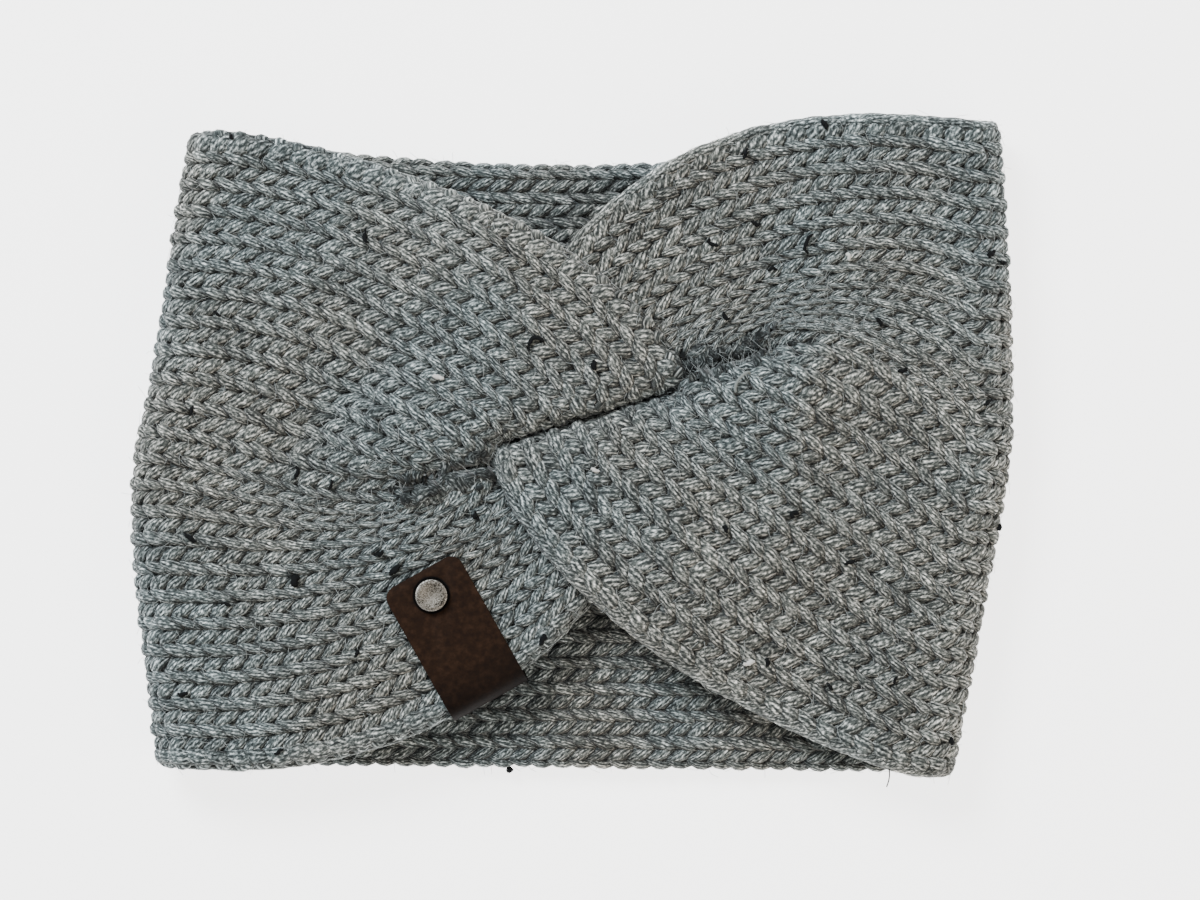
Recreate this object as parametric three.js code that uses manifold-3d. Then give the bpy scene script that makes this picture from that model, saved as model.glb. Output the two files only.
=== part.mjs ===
// A twisted knit ear warmer headband, lying flat as it would on a table.
// One flattened tube of stockinette runs as a loop: back, two side folds, and a front
// whose left and right ends are folded like two hooks, interlocked and sewn together.
// A leather tag is folded round the front's lower edge and riveted through the knit.
// Millimetres, +X to the wearer's side, +Y up the face, +Z away from the table.
import * as THREE from "three";
import { mergeVertices } from "three/addons/utils/BufferGeometryUtils.js";
import Module from "manifold-3d";

const wasm = await Module();
wasm.setup();

// The knit loop
const halfSpan = 105.5; // half of the loop's width as it lies
const halfHeight = 76; // half of the knit tube's flat width
const knit = 6; // both walls of the flattened tube
const headGap = 7; // room left between the back and the front
const backDip = 8; // the back's upper edge sags this much at its middle

// The sewn seam inside the knot, where four layers meet
const knotX = 3.6;
const knotY = 7.1;
const seamLength = 49; // where both hooks lie side by side
const seamTail = 20; // each hook's tip reaches this far past the other's edge
const seamClosing = 30; // over this length the two sides of a tip draw together
const tipRadius = 3.2;
const seamTurn = 16.9; // degrees
const seamLayer = 5.5; // one layer, squeezed by the seam
const seamFoot = 2; // the seam's lower end above the back
const seamTie = 2.5; // height of the stitched ridge
const tailTie = 5.5; // and of its two narrower ends, in the tips
const tailWide = 4.3; // half of the width there
const overRoll = 9.5; // the upper layers turn down into the knot on this radius
const underRoll = 5.6;
const rollGather = 0.4; // share of the inner thickness kept there
const rollGatherReach = 18;
const layerGap = 0.3; // between a lobe and the one that it crosses
const seamGap = 0.6; // between layers above the stitched ridge

// The leather tag
const tagWidth = 20;
const tagLength = 35; // folded
const leather = 1.3;
const tagCorner = 3;
const tagPlace = 0.469; // share of the way along the front's lower left edge
const tagTurn = 119.3; // degrees, from the band's length
const clearance = 0.3;

// The rivet
const capRadius = 4;
const capHeight = 1.7;
const capBevel = 0.45;
const backCapHeight = 1.6;
const postRadius = 1.5;
const rivetInset = 6.1; // from the tag's free end
const socketFloor = 0.6; // metal left behind the post in the back cap

const backZ = knit / 2;
const frontZ = knit * 1.5 + headGap;
const foldRadius = (frontZ - backZ) / 2;
const seamZ = knit + seamFoot;
const lift = knit + layerGap;
const seamThick = (seamLayer - seamGap) / 2;
const armLength = seamLength + seamTail;
const bendLength = Math.PI * tipRadius;
const armShare = armLength / (2 * armLength + bendLength);

// Each row is one line of stitches from a side fold to the knot. Its place across the
// strip runs from 0 at the lower edge to 1 at the upper. fold is where it turns round the
// side, and reach and bow are the two points that bend it, as shares of the half sizes.
const leftRows = [
  { across: 0, foldX: -0.942, foldY: -1.003, reachX: -0.394, reachY: -1.05, bowX: 0.061, bowY: -0.718 },
  { across: 0.25, foldX: -0.985, foldY: -0.513, reachX: -0.712, reachY: -0.526, bowX: -0.239, bowY: -0.501 },
  { across: 0.4, foldX: -1.001, foldY: -0.204, reachX: -0.735, reachY: -0.223, bowX: -0.389, bowY: -0.335 },
  { across: 0.5, foldX: -0.992, foldY: -0.014, reachX: -0.758, reachY: -0.052, bowX: -0.519, bowY: -0.163 },
  { across: 0.6, foldX: -0.962, foldY: 0.182, reachX: -0.678, reachY: 0.169, bowX: -0.457, bowY: 0.036 },
  { across: 0.75, foldX: -0.926, foldY: 0.494, reachX: -0.576, reachY: 0.497, bowX: -0.284, bowY: 0.295 },
  { across: 1, foldX: -0.871, foldY: 0.99, reachX: -0.439, reachY: 0.939, bowX: 0.152, bowY: 0.624 },
];
const rightRows = [
  { across: 0, foldX: 0.862, foldY: -1.028, reachX: 0.425, reachY: -0.908, bowX: -0.109, bowY: -0.45 },
  { across: 0.25, foldX: 0.93, foldY: -0.519, reachX: 0.676, reachY: -0.371, bowX: 0.316, bowY: -0.096 },
  { across: 0.4, foldX: 0.974, foldY: -0.191, reachX: 0.744, reachY: -0.033, bowX: 0.525, bowY: 0.118 },
  { across: 0.5, foldX: 0.994, foldY: 0.024, reachX: 0.755, reachY: 0.238, bowX: 0.589, bowY: 0.371 },
  { across: 0.6, foldX: 0.996, foldY: 0.219, reachX: 0.733, reachY: 0.428, bowX: 0.471, bowY: 0.478 },
  { across: 0.75, foldX: 0.99, foldY: 0.513, reachX: 0.744, reachY: 0.639, bowX: 0.339, bowY: 0.586 },
  { across: 1, foldX: 0.969, foldY: 1.022, reachX: 0.607, reachY: 1.059, bowX: 0.039, bowY: 1.129 },
];

// Soft swellings and hollows of the front, placed and sized as shares of the half sizes.
const swells = [
  { name: "left pleat", x: -0.414, y: -0.02, wide: 0.22, tall: 0.16, turn: 14, height: 3.4 },
  { name: "left valley", x: -0.5, y: 0.17, wide: 0.16, tall: 0.07, turn: 40, height: -1.5 },
  { name: "left nose", x: -0.65, y: -0.13, wide: 0.05, tall: 0.17, turn: 0, height: -1.5 },
  { name: "right pleat", x: 0.485, y: 0.2, wide: 0.22, tall: 0.16, turn: 14, height: 3.4 },
  { name: "right nose", x: 0.72, y: 0.32, wide: 0.12, tall: 0.07, turn: -50, height: -1.6 },
  { name: "lower right swell", x: 0.35, y: -0.32, wide: 0.32, tall: 0.2, turn: -24, height: 1.2 },
  { name: "upper left swell", x: -0.32, y: 0.5, wide: 0.3, tall: 0.2, turn: -24, height: 1.2 },
];

// The pleat's groove runs out from the knot along the middle of each lobe.
const grooveDepth = 3.2;
const grooveWidth = 0.03; // share of the strip's width
const grooveReach = 30;
const grooveStart = 10; // its full depth is reached this far from the knot
const crossingReach = 30; // full lift inside this distance of the crossing's middle
const crossingFade = 66;

// How finely the strip is divided
const edgeAngles = [0, 35, 65, 90];
const innerShares = [0.09, 0.18, 0.27, 0.35, 0.41, 0.45, 0.48, 0.5, 0.52, 0.55, 0.59, 0.65, 0.73, 0.82, 0.91];
const wallSteps = 1;
const rollAngles = [0, 30, 54, 74, 90];
const rollBite = 0.75; // lobes meet the seam at a slant
const lobeSteps = 14;
const lobeBunching = 1.15;
const foldSteps = 7;
const backSteps = 4;
const pathSamples = 60;

const radians = THREE.MathUtils.degToRad;
const mix = THREE.MathUtils.lerp;
const ease = (x) => THREE.MathUtils.smoothstep(x, 0, 1);

function edgeShares() {
  const rim = knit / 2 / (2 * halfHeight);
  const low = edgeAngles.map((angle) => rim * (1 - Math.cos(radians(angle))));
  return [...low, ...innerShares, ...low.map((share) => 1 - share).reverse()];
}

// A smooth curve through the rows, read at any place across the strip.
function between(rows, key, across) {
  const last = rows.length - 1;
  const slope = (k) => {
    const lower = rows[Math.max(0, k - 1)];
    const upper = rows[Math.min(last, k + 1)];
    return (upper[key] - lower[key]) / (upper.across - lower.across);
  };
  let i = 0;
  while (i < last - 1 && across > rows[i + 1].across) i++;
  const gap = rows[i + 1].across - rows[i].across;
  const f = (across - rows[i].across) / gap;
  return (
    rows[i][key] * (1 + 2 * f) * (1 - f) ** 2 +
    rows[i + 1][key] * f ** 2 * (3 - 2 * f) +
    slope(i) * gap * f * (1 - f) ** 2 +
    slope(i + 1) * gap * f ** 2 * (f - 1)
  );
}

// The seam line of one lobe, seen from above: an arm, a half circle round the other
// lobe's end, and an arm back. The right lobe's hook is the left one turned half round.
function hookPoint(side, across) {
  const share = side < 0 ? across : 1 - across;
  const edge = seamLength / 2;
  const tip = -edge - seamTail;
  const arm = Math.min(share, 1 - share) / armShare;
  const angle = Math.PI * THREE.MathUtils.clamp((share - armShare) / (1 - 2 * armShare), 0, 1);
  let along = tip - tipRadius * Math.sin(angle);
  let spread = -tipRadius * Math.cos(angle);
  if (arm < 1) {
    along = mix(edge, tip, arm);
    spread = mix(seamLayer, tipRadius, ease((-edge - along) / seamClosing)) * Math.sign(share - 0.5);
  }
  const off = spread - seamLayer / 2;
  const turn = radians(seamTurn);
  const x = along * Math.cos(turn) - off * Math.sin(turn);
  const y = along * Math.sin(turn) + off * Math.cos(turn);
  return new THREE.Vector2(knotX - side * x, knotY - side * y);
}

const hookSamples = [-1, 1].map((side) =>
  Array.from({ length: 49 }, (_, i) => {
    const across = i / 48;
    return { across, point: hookPoint(side, across) };
  }),
);

// 1 on the half of a lobe that crosses over, 0 on the half that runs under.
function overShare(side, across) {
  return ease(0.5 + (-side * (across - 0.5)) / 0.11);
}

function rowsOf(side) {
  return side < 0 ? leftRows : rightRows;
}

function foldPoint(side, across) {
  const rows = rowsOf(side);
  return new THREE.Vector2(
    between(rows, "foldX", across) * halfSpan - side * (knit / 2 + foldRadius),
    between(rows, "foldY", across) * halfHeight,
  );
}

// One line of stitches across a lobe, seen from above, from the knot to the side fold.
function lobePath(side, across) {
  const rows = rowsOf(side);
  const at = (name) =>
    new THREE.Vector2(
      between(rows, name + "X", across) * halfSpan,
      between(rows, name + "Y", across) * halfHeight,
    );
  return new THREE.CubicBezierCurve(hookPoint(side, across), at("bow"), at("reach"), foldPoint(side, across));
}

function swellAt(x, y) {
  let sum = 0;
  for (const s of swells) {
    const turn = radians(s.turn);
    const dx = x - s.x * halfSpan;
    const dy = y - s.y * halfHeight;
    const along = (dx * Math.cos(turn) + dy * Math.sin(turn)) / (s.wide * halfSpan);
    const off = (dy * Math.cos(turn) - dx * Math.sin(turn)) / (s.tall * halfHeight);
    sum += s.height * Math.exp(-(along ** 2) - off ** 2);
  }
  return sum;
}

// Height of a lobe's middle surface over a point, before it turns down into the knot.
function lobeHeight(side, across, point) {
  const turn = radians(seamTurn);
  const out = crossingReach / 2;
  const middle = new THREE.Vector2(
    knotX - side * -Math.sin(turn) * out,
    knotY - side * Math.cos(turn) * out,
  );
  const far = (point.distanceTo(middle) - crossingReach) / (crossingFade - crossingReach);
  const raised = lift * overShare(side, across) * (1 - ease(far));
  const calm = ease((across * (1 - across)) / 0.09);
  return frontZ + raised + swellAt(point.x, point.y) * overOrPleat(side, across) * calm;
}

// Swellings show on the half that crosses over and fade out across the half under it.
function overOrPleat(side, across) {
  return ease(1 + (-side * (across - 0.5)) / 0.12);
}

// Distance to the hook, and the radius on which the layer turns down there.
function nearHook(side, point) {
  let best = { distance: Infinity, roll: underRoll };
  for (const sample of hookSamples[side < 0 ? 0 : 1]) {
    const distance = point.distanceTo(sample.point);
    if (distance < best.distance) {
      const over = overShare(side, sample.across);
      best = { distance, roll: mix(underRoll, overRoll, over) };
    }
  }
  return best;
}

function rolledDown(distance, roll) {
  if (distance >= roll) return 0;
  return roll - Math.sqrt(Math.max(0, roll ** 2 - (roll - distance) ** 2));
}

// The back's line at one place across the strip.
function backPoint(across, x) {
  const left = foldPoint(-1, across);
  const right = foldPoint(1, across);
  const share = (x - left.x) / (right.x - left.x);
  const dip = backDip * across ** 2 * 4 * share * (1 - share);
  return new THREE.Vector3(x, mix(left.y, right.y, share) - dip, backZ);
}

// Points of one line of stitches from the seam, up the knot, over the lobe, round the side
// and to the middle of the back, with half of the fabric's thickness at each.
function stitchLine(side, across) {
  const line = [];
  const path = lobePath(side, across);
  const lengths = path.getLengths(pathSamples);
  const full = lengths[pathSamples];
  const over = overShare(side, across);
  const roll = mix(underRoll, overRoll, over);
  const end = path.getPoint(0);
  const wallTop = lobeHeight(side, across, end) - roll;
  for (let i = 0; i < wallSteps; i++) {
    const z = mix(seamZ, wallTop, i / wallSteps);
    line.push({ point: new THREE.Vector3(end.x, end.y, z), thick: seamThick, out: 0 });
  }
  const turnOut = rollAngles.map((angle) => (roll * (1 - Math.cos(radians(angle)))) / rollBite);
  const rollOut = turnOut[turnOut.length - 1];
  const restOut = Array.from({ length: lobeSteps }, (_, i) => mix(rollOut, full, ((i + 1) / lobeSteps) ** lobeBunching));
  for (const out of [...turnOut, ...restOut]) {
    const p = path.getPointAt(out / full);
    const near = nearHook(side, p);
    const fade = 1 - ease((out / full - 0.55) / 0.3);
    const drop = out === 0 ? roll : rolledDown(near.distance, mix(roll, near.roll, 0.5)) * fade;
    const z = lobeHeight(side, across, p) - drop;
    const rest = ease((out / full - 0.7) / 0.3);
    line.push({
      point: new THREE.Vector3(p.x, p.y, mix(z, frontZ, rest)),
      thick: mix(seamThick, knit / 2, ease(out / 16)),
      out,
    });
  }
  const fold = foldPoint(side, across);
  for (let i = 1; i <= foldSteps; i++) {
    const angle = (Math.PI * i) / foldSteps;
    const x = fold.x + side * foldRadius * Math.sin(angle);
    line.push({
      point: new THREE.Vector3(x, fold.y, backZ + foldRadius * (1 + Math.cos(angle))),
      thick: knit / 2,
      out: full,
    });
  }
  for (let i = 1; i <= backSteps; i++) {
    line.push({ point: backPoint(across, mix(fold.x, 0, i / backSteps)), thick: knit / 2, out: full });
  }
  return line;
}

// The pleat's groove, cut into the outer face only.
function grooveAt(across, out) {
  const off = (across - 0.5) / grooveWidth;
  return grooveDepth * Math.exp(-(off ** 2)) * (1 - ease(out / grooveReach)) * ease(0.25 + out / grooveStart);
}

// The direction of a line at its middle point, whatever the lengths of its two steps.
function wayThrough(before, here, after) {
  return here.clone().sub(before).normalize().add(after.clone().sub(here).normalize());
}

// The strip as a closed solid from seam to seam: an outer and an inner face that meet at
// both edges. The inner face is gathered a little where the strip turns down into the knot.
function strip() {
  const shares = edgeShares();
  const lines = shares.map((across) => {
    const right = stitchLine(1, across).reverse();
    return [...stitchLine(-1, across), ...right.slice(1)];
  });
  const stations = lines[0].length;
  const width = shares.length;
  const rim = knit / 2;
  const point = (i, j) => lines[THREE.MathUtils.clamp(j, 0, width - 1)][THREE.MathUtils.clamp(i, 0, stations - 1)].point;
  const outer = [];
  const inner = [];
  for (let i = 0; i < stations; i++) {
    for (let j = 0; j < width; j++) {
      const along = wayThrough(point(i - 1, j), point(i, j), point(i + 1, j));
      const over = wayThrough(point(i, j - 1), point(i, j), point(i, j + 1));
      const normal = over.cross(along).normalize();
      const fromEdge = Math.min(shares[j], 1 - shares[j]) * 2 * halfHeight;
      const inward = Math.min(1, fromEdge / rim);
      const round = Math.sqrt(Math.max(0, 1 - (1 - inward) ** 2));
      const { thick, out } = lines[j][i];
      const gather = mix(rollGather, 1, ease(out / rollGatherReach));
      outer.push(point(i, j).clone().addScaledVector(normal, thick * round - grooveAt(shares[j], out)));
      inner.push(point(i, j).clone().addScaledVector(normal, -thick * round * gather));
    }
  }
  const corners = [...outer, ...inner];
  const at = (face, i, j) => (j === 0 || j === width - 1 ? i * width + j : face * outer.length + i * width + j);
  const faces = [];
  const add = (...corner) => {
    if (new Set(corner).size === 3) faces.push(corner);
  };
  for (let i = 0; i + 1 < stations; i++) {
    for (let j = 0; j + 1 < width; j++) {
      add(at(0, i, j), at(0, i, j + 1), at(0, i + 1, j + 1));
      add(at(0, i, j), at(0, i + 1, j + 1), at(0, i + 1, j));
      add(at(1, i, j), at(1, i + 1, j + 1), at(1, i, j + 1));
      add(at(1, i, j), at(1, i + 1, j), at(1, i + 1, j + 1));
    }
  }
  const end = stations - 1;
  for (let j = 0; j + 1 < width; j++) {
    add(at(0, 0, j), at(1, 0, j + 1), at(0, 0, j + 1));
    add(at(0, 0, j), at(1, 0, j), at(1, 0, j + 1));
    add(at(0, end, j), at(0, end, j + 1), at(1, end, j + 1));
    add(at(0, end, j), at(1, end, j + 1), at(1, end, j));
  }
  const geometry = new THREE.BufferGeometry();
  geometry.setAttribute("position", new THREE.Float32BufferAttribute(corners.flatMap((c) => [c.x, c.y, c.z]), 3));
  geometry.setIndex(faces.flat());
  return geometry;
}

// three.js geometry to a manifold-3d solid, and back.
function solidOf(geometry, matrix = new THREE.Matrix4()) {
  const bare = new THREE.BufferGeometry();
  bare.setAttribute("position", geometry.getAttribute("position").clone());
  if (geometry.index) bare.setIndex(geometry.index.clone());
  bare.applyMatrix4(matrix);
  const merged = mergeVertices(bare, 1e-4);
  return new wasm.Manifold(
    new wasm.Mesh({
      numProp: 3,
      vertProperties: merged.getAttribute("position").array,
      triVerts: new Uint32Array(merged.index.array),
    }),
  );
}

function geometryOf(solid) {
  const mesh = solid.getMesh();
  const geometry = new THREE.BufferGeometry();
  geometry.setAttribute("position", new THREE.Float32BufferAttribute(mesh.vertProperties, mesh.numProp));
  geometry.setIndex(new THREE.Uint32BufferAttribute(mesh.triVerts, 1));
  geometry.computeVertexNormals();
  return geometry;
}

// A flat outline pushed upwards from z = 0.
function raised(shape, height, curveSegments) {
  return new THREE.ExtrudeGeometry(shape, { depth: height, bevelEnabled: false, curveSegments });
}

function roundedOutline(x0, x1, y0, y1, radius) {
  const shape = new THREE.Shape();
  shape.moveTo(x0 + radius, y0);
  shape.lineTo(x1 - radius, y0);
  shape.absarc(x1 - radius, y0 + radius, radius, -Math.PI / 2, 0);
  shape.lineTo(x1, y1 - radius);
  shape.absarc(x1 - radius, y1 - radius, radius, 0, Math.PI / 2);
  shape.lineTo(x0 + radius, y1);
  shape.absarc(x0 + radius, y1 - radius, radius, Math.PI / 2, Math.PI);
  shape.lineTo(x0, y0 + radius);
  shape.absarc(x0 + radius, y0 + radius, radius, Math.PI, 1.5 * Math.PI);
  return shape;
}

// The stitched ridge that ties the four layers at their lower ends.
function seamRidge() {
  const half = seamLength / 2 + 0.8 * seamLayer;
  const wide = 1.9 * seamLayer;
  const outline = roundedOutline(-half, half, -wide, wide, seamLayer);
  const place = new THREE.Matrix4()
    .makeTranslation(knotX, knotY, seamZ - seamFoot / 4)
    .multiply(new THREE.Matrix4().makeRotationZ(radians(seamTurn)));
  return solidOf(raised(outline, seamTie, 5), place);
}

// Each end of the ridge, along the crease inside a hook's tip.
function tailRidge(side) {
  const edge = seamLength / 2;
  const outline = roundedOutline(-edge - seamTail - tipRadius, 4 - edge, -tailWide, tailWide, tailWide - 0.1);
  const place = new THREE.Matrix4()
    .makeTranslation(knotX, knotY, seamZ - seamFoot / 4)
    .multiply(new THREE.Matrix4().makeRotationZ(radians(side < 0 ? seamTurn : seamTurn + 180)))
    .multiply(new THREE.Matrix4().makeTranslation(0, -seamLayer / 2, 0));
  return solidOf(raised(outline, tailTie, 5), place);
}

// The tag's own frame: origin in the middle of the knit's lower edge, +X into the fabric.
const lowerEdge = lobePath(-1, 0);
const edgePoint = lowerEdge.getPointAt(1 - tagPlace);
const bendInner = knit / 2 + clearance;
const tagFront = knit / 2 + clearance; // the leather's faces, from the knit's middle
const tagEnd = tagLength - clearance - leather; // the free end, from the knit's edge
const rivetX = tagEnd - rivetInset;
const postHole = postRadius + clearance;

function leatherTag() {
  const bendX = knit / 2;
  const bendOuter = bendInner + leather;
  const profile = new THREE.Shape();
  profile.moveTo(tagEnd, bendInner);
  profile.lineTo(tagEnd, bendOuter);
  profile.lineTo(bendX, bendOuter);
  profile.absarc(bendX, 0, bendOuter, Math.PI / 2, 1.5 * Math.PI, false);
  profile.lineTo(tagEnd, -bendOuter);
  profile.lineTo(tagEnd, -bendInner);
  profile.lineTo(bendX, -bendInner);
  profile.absarc(bendX, 0, bendInner, 1.5 * Math.PI, Math.PI / 2, true);
  profile.closePath();
  const upright = new THREE.Matrix4()
    .makeTranslation(0, tagWidth / 2, 0)
    .multiply(new THREE.Matrix4().makeRotationX(Math.PI / 2));
  const strap = solidOf(raised(profile, tagWidth, 12), upright);
  const tall = 4 * bendOuter;
  const outline = roundedOutline(tagEnd - 3 * tagLength, tagEnd, -tagWidth / 2, tagWidth / 2, tagCorner);
  const lower = new THREE.Matrix4().makeTranslation(0, 0, -tall / 2);
  return strap
    .intersect(solidOf(raised(outline, tall, 6), lower))
    .subtract(solidOf(postCylinder(tall)));
}

// A cylinder along the rivet's axis, for the holes in the leather and the knit.
function postCylinder(height) {
  return new THREE.CylinderGeometry(postHole, postHole, height, 20).rotateX(Math.PI / 2).translate(rivetX, 0, 0);
}

function turned(points, segments) {
  const profile = points.map(([radius, z]) => new THREE.Vector2(radius, z));
  return new THREE.LatheGeometry(profile, segments).rotateX(Math.PI / 2);
}

const capSeat = tagFront + leather + clearance;
const backCapSeat = -(tagFront + leather + clearance);
const postEnd = backCapSeat - backCapHeight + socketFloor + clearance;

function rivetCap() {
  return turned(
    [
      [0, postEnd],
      [postRadius, postEnd],
      [postRadius, capSeat],
      [capRadius - capBevel / 2, capSeat],
      [capRadius, capSeat + capBevel],
      [capRadius, capSeat + capHeight - capBevel],
      [capRadius - capBevel, capSeat + capHeight],
      [0, capSeat + capHeight],
    ],
    32,
  );
}

function rivetBack() {
  const base = backCapSeat - backCapHeight;
  return turned(
    [
      [0, base],
      [capRadius - capBevel, base],
      [capRadius, base + capBevel],
      [capRadius, backCapSeat],
      [postHole, backCapSeat],
      [postHole, base + socketFloor],
      [0, base + socketFloor],
    ],
    32,
  );
}

// The finished pieces
const yarn = new THREE.MeshStandardMaterial({ color: 0x8b8f8e, roughness: 0.95, metalness: 0 });
const hide = new THREE.MeshStandardMaterial({ color: 0x3a2a21, roughness: 0.6, metalness: 0 });
const nickel = new THREE.MeshStandardMaterial({ color: 0x9d978c, roughness: 0.4, metalness: 1 });

const tagFrame = new THREE.Matrix4()
  .makeTranslation(edgePoint.x, edgePoint.y, frontZ)
  .multiply(new THREE.Matrix4().makeRotationZ(radians(tagTurn)));

const loop = solidOf(strip())
  .add(seamRidge())
  .add(tailRidge(-1))
  .add(tailRidge(1))
  .subtract(solidOf(postCylinder(2 * knit), tagFrame));

function piece(name, geometry, material) {
  const mesh = new THREE.Mesh(geometry, material);
  mesh.name = name;
  return mesh;
}

const tagGroup = new THREE.Group();
tagGroup.applyMatrix4(tagFrame);
tagGroup.add(piece("leather_tag", geometryOf(leatherTag()), hide));

const rivetGroup = new THREE.Group();
rivetGroup.position.x = rivetX;
rivetGroup.add(piece("rivet_cap", rivetCap(), nickel));
rivetGroup.add(piece("rivet_back", rivetBack(), nickel));
tagGroup.add(rivetGroup);

const headband = new THREE.Group();
headband.add(piece("knit_band", geometryOf(loop), yarn));
headband.add(tagGroup);

// The origin is under the middle of the band, on the surface that it lies on.
const box = new THREE.Box3().setFromObject(headband);
const middle = box.getCenter(new THREE.Vector3());
headband.position.set(-middle.x, -middle.y, -box.min.z);

export default headband;
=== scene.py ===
import math

import bpy
import numpy as np
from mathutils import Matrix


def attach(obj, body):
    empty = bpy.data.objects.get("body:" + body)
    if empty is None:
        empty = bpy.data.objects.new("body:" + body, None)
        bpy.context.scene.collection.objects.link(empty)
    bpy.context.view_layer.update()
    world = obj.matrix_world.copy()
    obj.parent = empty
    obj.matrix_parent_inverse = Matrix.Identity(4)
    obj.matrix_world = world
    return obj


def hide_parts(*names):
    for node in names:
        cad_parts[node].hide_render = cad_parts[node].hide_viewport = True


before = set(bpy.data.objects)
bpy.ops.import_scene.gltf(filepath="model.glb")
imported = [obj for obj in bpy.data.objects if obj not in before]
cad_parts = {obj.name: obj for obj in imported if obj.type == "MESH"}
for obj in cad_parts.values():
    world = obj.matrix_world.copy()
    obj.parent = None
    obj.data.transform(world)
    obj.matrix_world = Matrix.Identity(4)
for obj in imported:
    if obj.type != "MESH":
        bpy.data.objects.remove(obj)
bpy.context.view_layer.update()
rng = np.random.default_rng(11)
mm = 0.001

# the knit's own surface, the same form as the solid model, in mm
band = {
    "halfSpan": 105.5, "halfHeight": 76.0, "knit": 6.0, "headGap": 7.0, "backDip": 8.0,
    "knotX": 3.6, "knotY": 7.1, "seamLength": 49.0, "seamTurn": math.radians(16.9), "seamLayer": 5.5,
    "seamTail": 20.0, "seamClosing": 4.0, "closingStart": 3.0, "seamFoot": 2.0, "seamGap": 0.6, "tipRadius": 2.7,
    "overRoll": 5.0, "underRoll": {-1: 1.6, 1: 3.6},  # -1 is the front's left half and 1 its right half
    "rollGather": 0.4, "rollGatherReach": 18.0, "thickReach": 16.0,
    "layerGap": 0.3, "crossingReach": 30.0, "crossingFade": 66.0, "overSpread": 0.11,
    "rimCalm": 0.09, "underCalm": 0.12,  # where the swells fade out, across the band
    "rollFade": (0.55, 0.3), "lobeFade": (0.7, 0.3),  # start and length, as shares of the way to the side fold
    "grooveDepth": 1.5, "grooveWidth": 0.03, "grooveReach": 30.0, "grooveStart": 10.0, "grooveShare": 0.25,
    "tailRise": {-1: 5.0, 1: 2.0}, "tailMiddle": 33.0, "tailSpread": 17.0,  # the lower layer meets the crease
    "curveSteps": 240, "wallSteps": 8, "lobeSteps": 130, "lobeCrowding": 1.45, "foldSteps": 24, "backSteps": 60,
    "hookSteps": 192, "shift": (0.241, -0.425, 0.0),  # from the source's place to the frame's origin
    "wales": 24, "perWale": 8, "step": 0.8,
}
# across, fold x y, reach x y, bow x y, as shares of the half sizes
rowsLeft = np.array([
    (0.0, -0.942, -1.003, -0.394, -1.05, 0.061, -0.718),
    (0.25, -0.985, -0.513, -0.712, -0.526, -0.239, -0.501),
    (0.4, -1.001, -0.204, -0.735, -0.223, -0.389, -0.335),
    (0.5, -0.992, -0.014, -0.758, -0.052, -0.519, -0.163),
    (0.6, -0.962, 0.182, -0.678, 0.169, -0.457, 0.036),
    (0.75, -0.926, 0.494, -0.576, 0.497, -0.284, 0.295),
    (1.0, -0.871, 0.99, -0.439, 0.939, 0.152, 0.624),
])
rowsRight = np.array([
    (0.0, 0.862, -1.028, 0.425, -0.908, -0.109, -0.45),
    (0.25, 0.93, -0.519, 0.676, -0.371, 0.316, -0.096),
    (0.4, 0.974, -0.191, 0.744, -0.033, 0.525, 0.118),
    (0.5, 0.994, 0.024, 0.755, 0.238, 0.589, 0.371),
    (0.6, 0.996, 0.219, 0.733, 0.428, 0.471, 0.478),
    (0.75, 0.99, 0.513, 0.744, 0.639, 0.339, 0.586),
    (1.0, 0.969, 1.022, 0.607, 1.059, 0.039, 1.129),
])
# x, y, wide, tall, turn, height
swells = [
    (-0.414, -0.02, 0.22, 0.16, 14, 3.4),  # left pleat
    (-0.5, 0.17, 0.16, 0.07, 40, -2.6),  # left valley
    (-0.65, -0.13, 0.05, 0.17, 0, -2.4),  # left nose
    (0.485, 0.2, 0.22, 0.16, 14, 3.4),  # right pleat
    (0.72, 0.32, 0.12, 0.07, -50, -2.6),  # right nose
    (0.35, -0.32, 0.32, 0.2, -24, 1.2),  # lower right swell
    (-0.32, 0.5, 0.3, 0.2, -24, 1.2),  # upper left swell
]
backZ = band["knit"] / 2
frontZ = band["knit"] * 1.5 + band["headGap"]
foldRadius = (frontZ - backZ) / 2
seamZ = band["knit"] + band["seamFoot"]
seamThick = (band["seamLayer"] - band["seamGap"]) / 2
armLength = band["seamLength"] + band["seamTail"]
armShare = armLength / (2 * armLength + math.pi * band["tipRadius"])


def ease(x):
    x = np.clip(x, 0, 1)
    return x * x * (3 - 2 * x)


def unit(v):
    return v / np.maximum(np.linalg.norm(v, axis=-1, keepdims=True), 1e-9)


def lengthsAlong(points):
    steps = np.linalg.norm(np.diff(points, axis=1), axis=2)
    return np.concatenate([np.zeros((len(points), 1)), np.cumsum(steps, 1)], 1)


def rowsAt(side, across):
    rows = rowsLeft if side < 0 else rowsRight
    place, last = rows[:, 0], len(rows) - 1
    lower, upper = np.maximum(np.arange(last + 1) - 1, 0), np.minimum(np.arange(last + 1) + 1, last)
    slope = (rows[upper] - rows[lower]) / (place[upper] - place[lower])[:, None]
    i = np.clip(np.searchsorted(place, across) - 1, 0, last - 1)
    gap = (place[i + 1] - place[i])[:, None]
    f = ((across - place[i]) / gap[:, 0])[:, None]
    out = rows[i] * (1 + 2 * f) * (1 - f) ** 2 + rows[i + 1] * f ** 2 * (3 - 2 * f)
    out = out + slope[i] * gap * f * (1 - f) ** 2 + slope[i + 1] * gap * f ** 2 * (f - 1)
    size = np.array([1] + [band["halfSpan"], band["halfHeight"]] * 3)
    return out * size


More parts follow.
